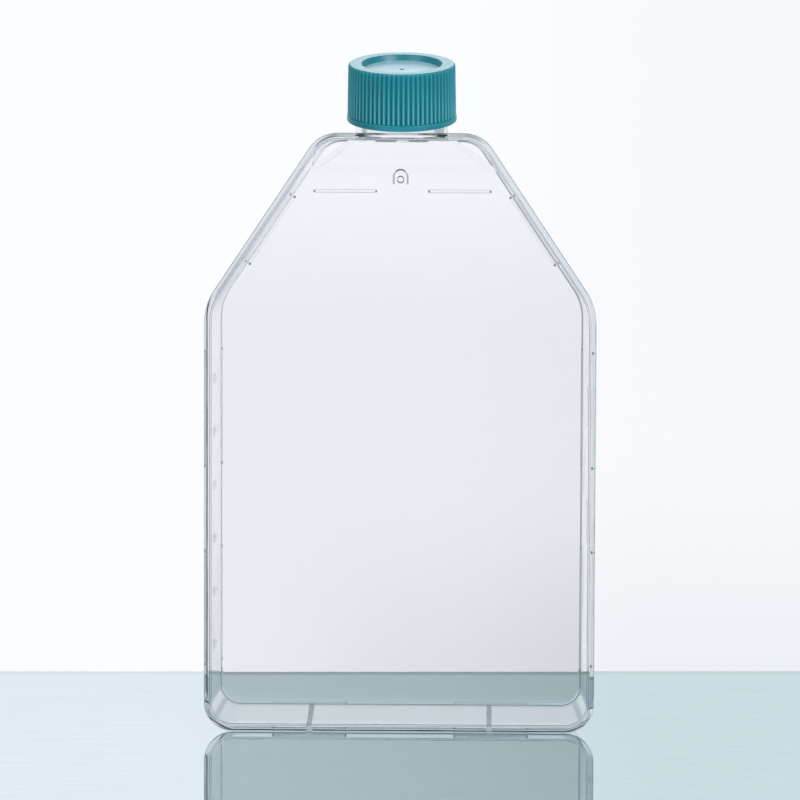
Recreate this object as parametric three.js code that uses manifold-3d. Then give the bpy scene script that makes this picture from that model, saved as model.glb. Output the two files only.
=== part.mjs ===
// Cell culture flask with a canted neck and a ribbed screw cap, in millimetres.
// The flask stands on its bottom edge. X runs across it, Y from the cover plate at the front to the
// growth floor at the back, and Z up to the cap. The origin is at the standing plane, under the
// middle of the bounding box.

import * as THREE from 'three';
import { mergeVertices } from 'three/addons/utils/BufferGeometryUtils.js';
import Module from 'manifold-3d';

const wasm = await Module();
wasm.setup();

// Body, seen from the front. Heights are above the rim's bottom edge.
const BODY_WIDTH = 132;
const BODY_HEIGHT = 203.4;
const SHOULDER_DROP = 58;
const TOP_WIDTH = 56.4;
const BOTTOM_RADIUS = 9;
const SHOULDER_RADIUS = 20;
const TOP_RADIUS = 12.7;

// Body, seen from the side. The walls lean inwards from the cover plate to the growth floor, and the
// corner radii shrink by a share of that lean.
const BODY_DEPTH = 38;
const WALL = 1.5;
const FLOOR = 1.6;
const DRAFT = THREE.MathUtils.degToRad(3.7);
const CORNER_LEAN_SHARE = 0.5;
const BACK_EDGE_RADIUS = 1.2;
const CAVITY_EDGE_RADIUS = 0.8;

// Cover plate
const COVER_THICKNESS = 1.6;
const COVER_EDGE_RADIUS = 0.4;
const BEAD_CLEARANCE = 0.25;
const BEAD_WIDTH = 0.7;
const BEAD_HEIGHT = 0.8;

// Gate mark on the cover plate: a horseshoe around a small disc
const GATE_BELOW_TOP = 14.6;
const GATE_RADIUS = 2.6;
const GATE_LINE = 0.5;
const GATE_LEG = 2.6;
const GATE_DISC_RADIUS = 1.3;
const GATE_DISC_DROP = 1.0;
const GATE_RELIEF = 0.25;

// Foot ribs under the bottom wall
const FOOT_SPACING = 61.4;
const FOOT_WIDTH = 1.7;
const FOOT_LIFT = 0.5;
const FOOT_SETBACK = 0.8;

// Stacking ridges on the back. Each pair of numbers is where a ridge starts and ends: up from the
// bottom, down from the shoulder, along the shoulder, or sideways from the middle.
const RIDGE_WIDTH = 0.8;
const RIDGE_RELIEF = 0.6;
const RIDGE_INSET = 3.75;
const SHOULDER_RIDGE_INSET = 4.9;
const LOWER_SIDE_RIDGE = [19.4, 58.8];
const UPPER_SIDE_RIDGE = [17.7, 57.2];
const BOTTOM_RIDGE = [18.9, 43.6];
const SHOULDER_RIDGE = [15.9, 43.6];
const CROSS_RIDGE = [9.2, 30.2];
const CROSS_RIDGE_BELOW_TOP = 21.4;
const CROSS_RIDGE_WIDTH = 1.2;

// Ramp from the growth floor up to the neck
const RAMP_HEIGHT = 15.4;
const RAMP_FOOT_WIDTH = 64;
const RAMP_SIDE_SLOPE = 1.39;
const RAMP_BORE_CLEARANCE = 0.15;

// Neck, measured along its own axis from the top wall
const NECK_CANT = THREE.MathUtils.degToRad(11);
const NECK_BORE = 24.5;
const NECK_WALL = 2.05;
const NECK_LIP_RADIUS = 0.5;
const COLLAR_PROUD = 1.55;
const COLLAR_HEIGHT = 5.4;
const COLLAR_CHAMFER = 0.4;

// Screw cap and its plug seal
const CAP_RIM_CLEARANCE = 0.35;
const CAP_HEIGHT = 19.6;
const CAP_SKIRT_WALL = 1.4;
const CAP_COLLAR_CLEARANCE = 0.35;
const CAP_FLANGE_HEIGHT = 1.9;
const CAP_FLANGE_PROUD = 0.75;
const CAP_FLANGE_CHAMFER = 0.35;
const CAP_TOP_RADIUS = 0.9;
const CAP_TOP_TAPER = 0.3;
const CAP_CEILING = 1.4;
const RIB_COUNT = 68;
const RIB_HEIGHT = 0.6;
const RIB_ROOT_SHARE = 0.72;
const RIB_TIP_SHARE = 0.28;
const RECESS_DIAMETER = 27.3;
const RECESS_DEPTH = 2.4;
const RECESS_TAPER = 0.9;
const DIMPLE_DIAMETER = 1.8;
const DIMPLE_DEPTH = 0.5;
const SEAL_GAP = 0.3;
const SEAL_THICKNESS = 1.1;
const SEAL_WALL = 1.2;
const SEAL_PLUG_LENGTH = 4.5;
const SEAL_PLUG_TAPER = 0.4;

// Smoothness
const CORNER_STEPS = 10;
const EDGE_STEPS = 3;
const ROUND_STEPS = 72;
const BAR_END_STEPS = 4;
const GATE_STEPS = 8;
const SAME_POINT = 1e-5;

// How far a cutting shape reaches past the face it cuts.
const OVERCUT = 1;

// Places worked out from the dimensions
const FRONT = -BODY_DEPTH / 2;
const BACK = BODY_DEPTH / 2;
const WELD_PLANE = FRONT + COVER_THICKNESS;
const bodyTop = FOOT_LIFT + BODY_HEIGHT;
const shoulderHeight = BODY_HEIGHT - SHOULDER_DROP;
const neckFoot = bodyTop - draftAt(0);
const boreRadius = NECK_BORE / 2;
const neckRadius = boreRadius + NECK_WALL;
const collarRadius = neckRadius + COLLAR_PROUD;
const capInnerRadius = collarRadius + CAP_COLLAR_CLEARANCE;
const capValleyRadius = capInnerRadius + CAP_SKIRT_WALL;
const capFlangeRadius = capValleyRadius + CAP_FLANGE_PROUD;
const capCeilingHeight = CAP_HEIGHT - RECESS_DEPTH - CAP_CEILING;

// The canted cap's flange clears the body's top edge, and the neck's lip meets the plug seal.
const flangeDip = capFlangeRadius * Math.sin(NECK_CANT);
const capLift = (bodyTop - neckFoot + CAP_RIM_CLEARANCE + flangeDip) / Math.cos(NECK_CANT);
const sealDiscTop = capCeilingHeight - SEAL_GAP;
const sealDiscBottom = sealDiscTop - SEAL_THICKNESS;
const neckLength = capLift + sealDiscBottom - SEAL_GAP;

// How far the walls have leaned inwards at depth y.
function draftAt(y) {
  return (y - WELD_PLANE) * Math.tan(DRAFT);
}

// Solids and geometries

function toSolid(geometry) {
  const bare = geometry.clone();
  bare.deleteAttribute('normal');
  bare.deleteAttribute('uv');
  const merged = mergeVertices(bare, SAME_POINT);
  return new wasm.Manifold(new wasm.Mesh({
    numProp: 3,
    vertProperties: new Float32Array(merged.attributes.position.array),
    triVerts: new Uint32Array(merged.index.array),
  }));
}

function toGeometry(solid) {
  const mesh = solid.getMesh();
  const geometry = new THREE.BufferGeometry();
  geometry.setAttribute('position', new THREE.BufferAttribute(mesh.vertProperties, 3));
  geometry.setIndex(new THREE.BufferAttribute(mesh.triVerts, 1));
  geometry.computeVertexNormals();
  return geometry;
}

// Outlines in the front view are lists of THREE.Vector2 whose x is X and whose y is Z.

function insetPolygon(corners, inset) {
  return corners.map((corner, i) => {
    const before = corners[(i + corners.length - 1) % corners.length];
    const after = corners[(i + 1) % corners.length];
    const edgeIn = corner.clone().sub(before).normalize();
    const edgeOut = after.clone().sub(corner).normalize();
    const normalIn = new THREE.Vector2(-edgeIn.y, edgeIn.x);
    const normalOut = new THREE.Vector2(-edgeOut.y, edgeOut.x);
    const shift = normalIn.clone().add(normalOut);
    return corner.clone().addScaledVector(shift, inset / (1 + normalIn.dot(normalOut)));
  });
}

function cornerArc(before, corner, after, radius) {
  const toBefore = before.clone().sub(corner).normalize();
  const toAfter = after.clone().sub(corner).normalize();
  const halfAngle = Math.acos(toBefore.dot(toAfter)) / 2;
  const bisector = toBefore.clone().add(toAfter).normalize();
  const centre = corner.clone().addScaledVector(bisector, radius / Math.sin(halfAngle));
  const tangentLength = radius / Math.tan(halfAngle);
  const start = corner.clone().addScaledVector(toBefore, tangentLength).sub(centre);
  const turn = Math.PI - 2 * halfAngle;
  const points = [];
  for (let step = 0; step <= CORNER_STEPS; step += 1) {
    const spoke = start.clone().rotateAround(new THREE.Vector2(), turn * step / CORNER_STEPS);
    points.push(spoke.add(centre));
  }
  return points;
}

function flaskCorners(inset) {
  const half = BODY_WIDTH / 2;
  const corners = [
    [-half, 0],
    [half, 0],
    [half, shoulderHeight],
    [TOP_WIDTH / 2, BODY_HEIGHT],
    [-TOP_WIDTH / 2, BODY_HEIGHT],
    [-half, shoulderHeight],
  ];
  const placed = corners.map(([x, z]) => new THREE.Vector2(x, z + FOOT_LIFT));
  return insetPolygon(placed, inset);
}

// The flask's rounded outline, moved inwards by an inset and by the walls' lean.
function flaskOutline(inset, lean = 0) {
  const radii = [
    BOTTOM_RADIUS,
    BOTTOM_RADIUS,
    SHOULDER_RADIUS,
    TOP_RADIUS,
    TOP_RADIUS,
    SHOULDER_RADIUS,
  ];
  const corners = flaskCorners(inset + lean);
  return corners.flatMap((corner, i) => {
    const before = corners[(i + corners.length - 1) % corners.length];
    const after = corners[(i + 1) % corners.length];
    return cornerArc(before, corner, after, radii[i] - inset - CORNER_LEAN_SHARE * lean);
  });
}

// A closed skin through flask outlines. Each section is { y, inset, lean }, from front to back.
function flaskLoft(sections) {
  const rings = sections.map(({ y, inset, lean }) => (
    flaskOutline(inset, lean).map((p) => [p.x, y, p.y])
  ));
  const count = rings[0].length;
  const positions = rings.flat(2);
  const triangles = [];
  for (let ring = 0; ring + 1 < rings.length; ring += 1) {
    for (let i = 0; i < count; i += 1) {
      const next = (i + 1) % count;
      const front = ring * count;
      const back = front + count;
      triangles.push(front + i, back + i, front + next);
      triangles.push(front + next, back + i, back + next);
    }
  }
  const outline = flaskOutline(sections[0].inset, sections[0].lean);
  const lastRing = (rings.length - 1) * count;
  for (const [a, b, c] of THREE.ShapeUtils.triangulateShape(outline, [])) {
    triangles.push(a, b, c);
    triangles.push(lastRing + a, lastRing + c, lastRing + b);
  }
  const geometry = new THREE.BufferGeometry();
  geometry.setAttribute('position', new THREE.Float32BufferAttribute(positions, 3));
  geometry.setIndex(triangles);
  return geometry;
}

// Sections that follow a drafted wall back to a rounded edge and a flat face at depth y.
function draftedSections(start, y, inset, edgeRadius) {
  const edgeStart = y - edgeRadius;
  const sections = [{ y: start, inset, lean: draftAt(start) }];
  for (let step = 0; step <= EDGE_STEPS; step += 1) {
    const angle = step / EDGE_STEPS * Math.PI / 2;
    sections.push({
      y: edgeStart + edgeRadius * Math.sin(angle),
      inset: inset + edgeRadius * (1 - Math.cos(angle)),
      lean: draftAt(edgeStart),
    });
  }
  return sections;
}

// The points of a shape without repeats, as an open list.
function distinctPoints(shape, steps) {
  const points = shape.getPoints(steps);
  return points.filter((point, i) => {
    const before = points[(i + points.length - 1) % points.length];
    return point.distanceTo(before) > SAME_POINT;
  });
}

// Extrudes a front-view outline from depth front to depth back.
function frontExtrude(points, front, back) {
  const shape = new THREE.Shape(points);
  const geometry = new THREE.ExtrudeGeometry(shape, { depth: back - front, bevelEnabled: false });
  return geometry.rotateX(Math.PI / 2).translate(0, back, 0);
}

// Extrudes a side-view outline, whose x is Y and whose y is Z, across width about X = x.
function sideExtrude(points, x, width) {
  const shape = new THREE.Shape(points);
  const geometry = new THREE.ExtrudeGeometry(shape, { depth: width, bevelEnabled: false });
  const sideways = new THREE.Matrix4().makeBasis(
    new THREE.Vector3(0, 1, 0),
    new THREE.Vector3(0, 0, 1),
    new THREE.Vector3(1, 0, 0),
  );
  return geometry.applyMatrix4(sideways).translate(x - width / 2, 0, 0);
}

// Turns a profile of [radius, height] pairs about the Z axis.
function turned(profile, steps = ROUND_STEPS) {
  const points = profile.map(([radius, height]) => new THREE.Vector2(radius, height));
  return new THREE.LatheGeometry(points, steps).rotateX(Math.PI / 2);
}

// Profile points around a rounded outer edge that ends at [radius, height].
function roundedShoulder(radius, height, edgeRadius) {
  const points = [];
  for (let step = 0; step <= EDGE_STEPS; step += 1) {
    const angle = step / EDGE_STEPS * Math.PI / 2;
    points.push([
      radius - edgeRadius * (1 - Math.cos(angle)),
      height - edgeRadius * (1 - Math.sin(angle)),
    ]);
  }
  return points;
}

// Neck frame: its Z runs along the neck, out of the mouth.
const neckMatrix = new THREE.Matrix4()
  .makeTranslation(0, 0, neckFoot)
  .multiply(new THREE.Matrix4().makeRotationX(NECK_CANT));

function inNeckFrame(geometry) {
  return geometry.applyMatrix4(neckMatrix);
}

// Flask tray

// The neck and its collar, kept behind the cover plate below the body's top edge.
function neckBlank() {
  const root = -(collarRadius * Math.tan(NECK_CANT) + WALL);
  const blank = turned([
    [0, root],
    [collarRadius, root],
    [collarRadius, COLLAR_HEIGHT - COLLAR_CHAMFER],
    [collarRadius - COLLAR_CHAMFER, COLLAR_HEIGHT],
    [neckRadius, COLLAR_HEIGHT],
    ...roundedShoulder(neckRadius, neckLength, NECK_LIP_RADIUS),
    [0, neckLength],
  ]);
  const coverSpace = new THREE.BoxGeometry(BODY_WIDTH, BODY_DEPTH, BODY_HEIGHT);
  coverSpace.translate(0, WELD_PLANE - BODY_DEPTH / 2, bodyTop - BODY_HEIGHT / 2);
  return toSolid(inNeckFrame(blank)).subtract(toSolid(coverSpace));
}

// The bore reaches down through the top wall on every side of the canted neck.
function neckBore() {
  const bottom = -(boreRadius * Math.tan(NECK_CANT) + 2 * WALL);
  const bore = turned([
    [0, bottom],
    [boreRadius, bottom],
    [boreRadius, neckLength - NECK_LIP_RADIUS],
    [boreRadius + NECK_LIP_RADIUS, neckLength],
    [boreRadius + NECK_LIP_RADIUS, neckLength + OVERCUT],
    [0, neckLength + OVERCUT],
  ]);
  return toSolid(inNeckFrame(bore));
}

// What the ramp takes away from the back. A positive inset moves its faces into the flask.
// The ramp's inner face runs up to the back of the bore at the underside of the top wall.
function rampCut(inset) {
  const foot = bodyTop - RAMP_HEIGHT;
  const length = neckFoot - WALL - foot;
  const boreBack = boreRadius / Math.cos(NECK_CANT) + WALL * Math.tan(NECK_CANT);
  const rise = BACK - FLOOR - boreBack - RAMP_BORE_CLEARANCE;
  const slope = Math.atan2(rise, length);
  const beyond = length + 2 * collarRadius * Math.tan(NECK_CANT);
  const shiftY = -inset * Math.cos(slope);
  const shiftZ = -inset * Math.sin(slope);
  const wedge = sideExtrude([
    new THREE.Vector2(BACK + shiftY, foot + shiftZ),
    new THREE.Vector2(BACK + OVERCUT, foot + shiftZ),
    new THREE.Vector2(BACK + OVERCUT, foot + beyond + shiftZ),
    new THREE.Vector2(BACK - rise * beyond / length + shiftY, foot + beyond + shiftZ),
  ], 0, BODY_WIDTH);
  const halfFoot = RAMP_FOOT_WIDTH / 2;
  const halfTop = halfFoot - RAMP_SIDE_SLOPE * beyond;
  const outline = insetPolygon([
    new THREE.Vector2(-halfFoot, foot),
    new THREE.Vector2(halfFoot, foot),
    new THREE.Vector2(halfTop, foot + beyond),
    new THREE.Vector2(-halfTop, foot + beyond),
  ], -inset);
  const funnel = frontExtrude(outline, -OVERCUT, BACK + 2 * OVERCUT);
  return toSolid(wedge).intersect(toSolid(funnel));
}

// Rounded bar between two points of the front view.
function barOutline(from, to, width) {
  const along = to.clone().sub(from).normalize();
  const angle = Math.atan2(along.y, along.x);
  const shape = new THREE.Shape();
  shape.absarc(to.x, to.y, width / 2, angle - Math.PI / 2, angle + Math.PI / 2);
  shape.absarc(from.x, from.y, width / 2, angle + Math.PI / 2, angle + 3 * Math.PI / 2);
  shape.closePath();
  return distinctPoints(shape, BAR_END_STEPS);
}

function stackingRidges() {
  const bars = [];
  const addPair = (from, to, width = RIDGE_WIDTH) => {
    for (const side of [-1, 1]) {
      const start = new THREE.Vector2(side * from[0], from[1]);
      const end = new THREE.Vector2(side * to[0], to[1]);
      bars.push(barOutline(start, end, width));
    }
  };
  const sideX = BODY_WIDTH / 2 - RIDGE_INSET;
  const bottomZ = FOOT_LIFT + RIDGE_INSET;
  const crossZ = bodyTop - CROSS_RIDGE_BELOW_TOP;
  const lower = LOWER_SIDE_RIDGE.map((height) => FOOT_LIFT + height);
  const upper = UPPER_SIDE_RIDGE.map((drop) => FOOT_LIFT + shoulderHeight - drop);
  for (const [start, end] of [lower, upper]) {
    addPair([sideX, start], [sideX, end]);
  }
  addPair([BOTTOM_RIDGE[0], bottomZ], [BOTTOM_RIDGE[1], bottomZ]);
  addPair([CROSS_RIDGE[0], crossZ], [CROSS_RIDGE[1], crossZ], CROSS_RIDGE_WIDTH);
  const corners = flaskCorners(SHOULDER_RIDGE_INSET);
  const shoulder = corners[2];
  const slant = corners[3].clone().sub(shoulder).normalize();
  const ends = SHOULDER_RIDGE.map((distance) => shoulder.clone().addScaledVector(slant, distance));
  addPair(ends[0].toArray(), ends[1].toArray());
  const embed = FLOOR / 2;
  return bars.map((bar) => toSolid(frontExtrude(bar, BACK - embed, BACK + RIDGE_RELIEF)));
}

// A foot rib fills the wedge between the leaning bottom wall and the standing plane.
function footRib(x) {
  const end = BACK - FOOT_SETBACK;
  const embed = FOOT_LIFT + WALL / 3;
  const outline = [
    new THREE.Vector2(WELD_PLANE, 0),
    new THREE.Vector2(end, 0),
    new THREE.Vector2(end, draftAt(end) + embed),
    new THREE.Vector2(WELD_PLANE, embed),
  ];
  return toSolid(sideExtrude(outline, x, FOOT_WIDTH));
}

function flaskTray() {
  const shellSections = draftedSections(WELD_PLANE, BACK, 0, BACK_EDGE_RADIUS);
  const mouth = WELD_PLANE - OVERCUT;
  const cavitySections = draftedSections(mouth, BACK - FLOOR, WALL, CAVITY_EDGE_RADIUS);
  const shell = toSolid(flaskLoft(shellSections)).subtract(rampCut(0));
  const cavity = toSolid(flaskLoft(cavitySections)).subtract(rampCut(FLOOR));
  let tray = shell.add(neckBlank()).subtract(cavity).subtract(neckBore());
  for (const ridge of stackingRidges()) {
    tray = tray.add(ridge);
  }
  for (const side of [-1, 1]) {
    tray = tray.add(footRib(side * FOOT_SPACING / 2));
  }
  return toGeometry(tray);
}

// Cover plate

function locatingBead() {
  const outerInset = WALL + draftAt(WELD_PLANE + BEAD_HEIGHT) + BEAD_CLEARANCE;
  const embedded = WELD_PLANE - COVER_THICKNESS / 2;
  const end = WELD_PLANE + BEAD_HEIGHT;
  const outer = frontExtrude(flaskOutline(outerInset), embedded, end);
  const innerOutline = flaskOutline(outerInset + BEAD_WIDTH);
  const inner = frontExtrude(innerOutline, embedded - OVERCUT, end + OVERCUT);
  return toSolid(outer).subtract(toSolid(inner));
}

function gateMark() {
  const centre = new THREE.Vector2(0, bodyTop - GATE_BELOW_TOP);
  const legEnd = centre.y - GATE_LEG;
  const inner = GATE_RADIUS - GATE_LINE;
  const horseshoe = new THREE.Shape();
  horseshoe.moveTo(GATE_RADIUS, legEnd);
  horseshoe.absarc(centre.x, centre.y, GATE_RADIUS, 0, Math.PI);
  horseshoe.lineTo(-GATE_RADIUS, legEnd);
  horseshoe.lineTo(-inner, legEnd);
  horseshoe.absarc(centre.x, centre.y, inner, Math.PI, 0, true);
  horseshoe.lineTo(inner, legEnd);
  const disc = new THREE.Shape();
  disc.absarc(centre.x, centre.y - GATE_DISC_DROP, GATE_DISC_RADIUS, 0, 2 * Math.PI);
  const embedded = FRONT + COVER_THICKNESS / 2;
  return [horseshoe, disc].map((shape) => {
    const points = distinctPoints(shape, GATE_STEPS);
    return toSolid(frontExtrude(points, FRONT - GATE_RELIEF, embedded));
  });
}

function coverPlate() {
  const sections = [];
  for (let step = 0; step <= EDGE_STEPS; step += 1) {
    const angle = step / EDGE_STEPS * Math.PI / 2;
    sections.push({
      y: FRONT + COVER_EDGE_RADIUS * (1 - Math.cos(angle)),
      inset: COVER_EDGE_RADIUS * (1 - Math.sin(angle)),
      lean: 0,
    });
  }
  sections.push({ y: WELD_PLANE, inset: 0, lean: 0 });
  let cover = toSolid(flaskLoft(sections)).add(locatingBead());
  for (const mark of gateMark()) {
    cover = cover.add(mark);
  }
  return toGeometry(cover);
}

// Screw cap, in its own frame: Z runs along the neck from the foot of the skirt

// The ribs stand a little past the cap's envelope, which trims them to their taper.
function ribbedBand() {
  const tip = capValleyRadius + RIB_HEIGHT + CAP_TOP_TAPER;
  const pitch = 2 * Math.PI / RIB_COUNT;
  const profile = [
    [capValleyRadius, -RIB_ROOT_SHARE / 2],
    [tip, -RIB_TIP_SHARE / 2],
    [tip, RIB_TIP_SHARE / 2],
    [capValleyRadius, RIB_ROOT_SHARE / 2],
  ];
  const points = [];
  for (let rib = 0; rib < RIB_COUNT; rib += 1) {
    for (const [radius, share] of profile) {
      const angle = (rib + share) * pitch;
      points.push(new THREE.Vector2(radius * Math.cos(angle), radius * Math.sin(angle)));
    }
  }
  const shape = new THREE.Shape(points);
  return new THREE.ExtrudeGeometry(shape, { depth: CAP_HEIGHT, bevelEnabled: false });
}

function screwCap() {
  const tip = capValleyRadius + RIB_HEIGHT;
  const topRadius = tip - CAP_TOP_TAPER;
  const envelope = turned([
    [0, 0],
    [capFlangeRadius, 0],
    [capFlangeRadius, CAP_FLANGE_HEIGHT],
    [tip, CAP_FLANGE_HEIGHT],
    ...roundedShoulder(topRadius, CAP_HEIGHT, CAP_TOP_RADIUS),
    [0, CAP_HEIGHT],
  ], RIB_COUNT);
  const flange = turned([
    [0, 0],
    [capFlangeRadius - CAP_FLANGE_CHAMFER, 0],
    [capFlangeRadius, CAP_FLANGE_CHAMFER],
    [capFlangeRadius, CAP_FLANGE_HEIGHT],
    [capValleyRadius, CAP_FLANGE_HEIGHT + CAP_FLANGE_PROUD / 2],
    [0, CAP_FLANGE_HEIGHT + CAP_FLANGE_PROUD / 2],
  ], RIB_COUNT);
  const hollow = turned([
    [0, -OVERCUT],
    [capInnerRadius, -OVERCUT],
    ...roundedShoulder(capInnerRadius, capCeilingHeight, CAP_TOP_RADIUS),
    [0, capCeilingHeight],
  ]);
  const recessFloor = CAP_HEIGHT - RECESS_DEPTH;
  const recess = turned([
    [0, recessFloor - DIMPLE_DEPTH],
    [DIMPLE_DIAMETER / 2, recessFloor],
    [RECESS_DIAMETER / 2 - RECESS_TAPER, recessFloor],
    [RECESS_DIAMETER / 2, CAP_HEIGHT + OVERCUT],
    [0, CAP_HEIGHT + OVERCUT],
  ]);
  const body = toSolid(ribbedBand()).intersect(toSolid(envelope)).add(toSolid(flange));
  return toGeometry(body.subtract(toSolid(hollow)).subtract(toSolid(recess)));
}

// Plug seal, in the cap's frame: a disc over the neck's lip and a ring down into the bore
function plugSeal() {
  const discRadius = capInnerRadius - CAP_TOP_RADIUS - SEAL_GAP;
  const plugRadius = boreRadius - SEAL_GAP;
  const plugInner = plugRadius - SEAL_WALL;
  const plugEnd = sealDiscBottom - SEAL_PLUG_LENGTH;
  return turned([
    [0, sealDiscBottom],
    [plugInner, sealDiscBottom],
    [plugInner, plugEnd],
    [plugRadius - SEAL_PLUG_TAPER, plugEnd],
    [plugRadius, plugEnd + 2 * SEAL_PLUG_TAPER],
    [plugRadius, sealDiscBottom],
    [discRadius, sealDiscBottom],
    [discRadius, sealDiscTop],
    [0, sealDiscTop],
  ]);
}

// Materials

const clearPlastic = new THREE.MeshStandardMaterial({
  color: 0xe3ebee,
  roughness: 0.06,
  metalness: 0,
  transparent: true,
  opacity: 0.3,
});
const tealPlastic = new THREE.MeshStandardMaterial({ color: 0x2b8c9a, roughness: 0.35, metalness: 0 });
const naturalPlastic = new THREE.MeshStandardMaterial({ color: 0xe9ebe6, roughness: 0.45, metalness: 0 });

// Assembly

function part(name, geometry, material) {
  const mesh = new THREE.Mesh(geometry, material);
  mesh.name = name;
  return mesh;
}

const body = new THREE.Group();
body.add(part('flask_tray', flaskTray(), clearPlastic));
body.add(part('cover_plate', coverPlate(), clearPlastic));

const closure = new THREE.Group();
closure.rotation.x = NECK_CANT;
closure.position.set(0, -capLift * Math.sin(NECK_CANT), neckFoot + capLift * Math.cos(NECK_CANT));
closure.add(part('plug_seal', plugSeal(), naturalPlastic));
closure.add(part('screw_cap', screwCap(), tealPlastic));

const flask = new THREE.Group();
flask.add(body, closure);
const bounds = new THREE.Box3().setFromObject(flask, true);
flask.position.y = -bounds.getCenter(new THREE.Vector3()).y;

export default flask;
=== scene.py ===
"""Looks for a clear cell culture flask with a canted neck and a ribbed teal screw cap.

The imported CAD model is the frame. Sizes are in millimetres up to the mesh builders, which turn them
into metres. The flask stands on Z = 0, with its cover plate facing -Y and its growth floor facing +Y.
"""

import math

import bmesh
import bpy
from mathutils import Matrix, Vector


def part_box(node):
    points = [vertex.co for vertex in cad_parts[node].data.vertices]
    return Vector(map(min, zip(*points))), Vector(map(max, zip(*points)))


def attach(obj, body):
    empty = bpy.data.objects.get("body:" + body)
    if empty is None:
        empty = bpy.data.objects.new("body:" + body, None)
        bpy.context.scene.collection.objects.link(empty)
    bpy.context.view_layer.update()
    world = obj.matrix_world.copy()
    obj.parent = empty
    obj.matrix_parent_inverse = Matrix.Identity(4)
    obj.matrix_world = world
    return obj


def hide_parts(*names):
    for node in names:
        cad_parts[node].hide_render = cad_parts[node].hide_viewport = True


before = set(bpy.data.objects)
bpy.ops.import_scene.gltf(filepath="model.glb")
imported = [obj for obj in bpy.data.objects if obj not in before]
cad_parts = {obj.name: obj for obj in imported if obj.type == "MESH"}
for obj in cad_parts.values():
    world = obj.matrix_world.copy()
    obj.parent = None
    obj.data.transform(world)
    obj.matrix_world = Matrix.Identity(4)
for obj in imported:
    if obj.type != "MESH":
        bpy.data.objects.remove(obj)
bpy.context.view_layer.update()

MM = 0.001

# Body. A few sizes differ a little from the CAD part's, to give the photographed outline.
BODY_WIDTH = 132.5
BODY_HEIGHT = 203.4
SHOULDER_DROP = 58.3
TOP_WIDTH = 54.8
BOTTOM_RADIUS = 9.6
SHOULDER_RADIUS = 20.0
TOP_RADIUS = 11.5
BODY_DEPTH = 38.0
WALL = 1.5
FLOOR = 1.6
DRAFT = math.radians(4.3)
CORNER_LEAN_SHARE = 0.5
BACK_EDGE_RADIUS = 0.4
CAVITY_EDGE_RADIUS = 0.8
COVER_THICKNESS = 1.6
COVER_EDGE_RADIUS = 0.3
FOOT_LIFT = 0.25

# Weld seam between the cover plate and the tray, and the locating bead inside it
SEAM_DEPTH = 0.1
SEAM_WIDTH = 0.5
BEAD_CLEARANCE = 0.25
BEAD_WIDTH = 0.7
BEAD_HEIGHT = 0.4

# Gate mark
GATE_BELOW_TOP = 14.6
GATE_RADIUS = 2.6
GATE_LINE = 0.55
GATE_LEG = 2.6
GATE_DISC_RADIUS = 1.3
GATE_DISC_DROP = 1.0
GATE_RELIEF = 0.42

# Foot ribs and stacking ridges
FOOT_SPACING = 61.4
FOOT_WIDTH = 1.7
FOOT_SETBACK = 0.8
RIB_CLEARANCE = 0.03
RIDGE_WIDTH = 0.8
RIDGE_RELIEF = 0.6
CROSS_RIDGE_RELIEF = 0.3
BOTTOM_RIDGE_RELIEF = 0.4
SIDE_RIDGE_RELIEF = 0.15
PIP_RADIUS = 0.52
RIDGE_INSET = 3.75
SHOULDER_RIDGE_INSET = 4.9
LOWER_SIDE_RIDGE = (19.4, 58.8)
UPPER_SIDE_RIDGE = (17.7, 57.2)
BOTTOM_RIDGE = (18.9, 43.6)
SHOULDER_RIDGE = (15.9, 43.6)
CROSS_RIDGE = (9.2, 30.2)
CROSS_RIDGE_BELOW_TOP = 21.4
CROSS_RIDGE_WIDTH = 1.1
CROSS_CREST_SHIFT = 0.8
PIP_LENGTH = 0.001

# Volume marks on the left wall and pads on the right one
FIRST_VOLUME = 100
VOLUME_STEP = 40
GRADUATION_COUNT = 11
FIRST_GRADUATION = 27.5
GRADUATION_SPACING = 9.15
MARK_START = 9.0
MARK_LINE = 0.45
MARK_RELIEF = 0.24
LONG_TICK = 3.0
SHORT_TICK = 1.8
DIGIT_WIDTH = 1.3
DIGIT_HEIGHT = 2.6
DIGIT_PITCH = 1.7
STROKES = {
    "top": ((0, 1), (1, 1)),
    "upper_right": ((1, 0.5), (1, 1)),
    "lower_right": ((1, 0), (1, 0.5)),
    "bottom": ((0, 0), (1, 0)),
    "lower_left": ((0, 0), (0, 0.5)),
    "upper_left": ((0, 0.5), (0, 1)),
    "middle": ((0, 0.5), (1, 0.5)),
}
DIGIT_STROKES = {
    "0": ("top", "upper_right", "lower_right", "bottom", "lower_left", "upper_left"),
    "1": ("upper_right", "lower_right"),
    "2": ("top", "upper_right", "middle", "lower_left", "bottom"),
    "3": ("top", "upper_right", "middle", "lower_right", "bottom"),
    "4": ("upper_left", "middle", "upper_right", "lower_right"),
    "5": ("top", "upper_left", "middle", "lower_right", "bottom"),
    "6": ("top", "upper_left", "middle", "lower_right", "bottom", "lower_left"),
    "8": tuple(STROKES),
}
PAD_HEIGHTS = ((66.7, 75.3), (105.9, 113.8))
PAD_WIDTH = 6.0
PAD_RELIEF = 0.25

# Ramp up to the neck
RAMP_HEIGHT = 15.4
RAMP_FOOT_WIDTH = 64.0
RAMP_SIDE_SLOPE = 1.39
RAMP_BORE_CLEARANCE = 0.15

# Neck and its thread
NECK_CANT = math.radians(11)
NECK_BORE = 24.5
NECK_WALL = 2.05
NECK_LIP_RADIUS = 0.5
ROOT_ROOF = 0.5
ROOT_BOSS_DROP = 0.6
ROOT_RELIEF = 0.3
COLLAR_PROUD = 1.55
COLLAR_HEIGHT = 5.4
COLLAR_CHAMFER = 0.4
THREAD_LEAD = 4.2
NECK_THREAD_DEPTH = 1.4
NECK_THREAD_START = 9.3
NECK_THREAD_TURNS = 1.4

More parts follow.
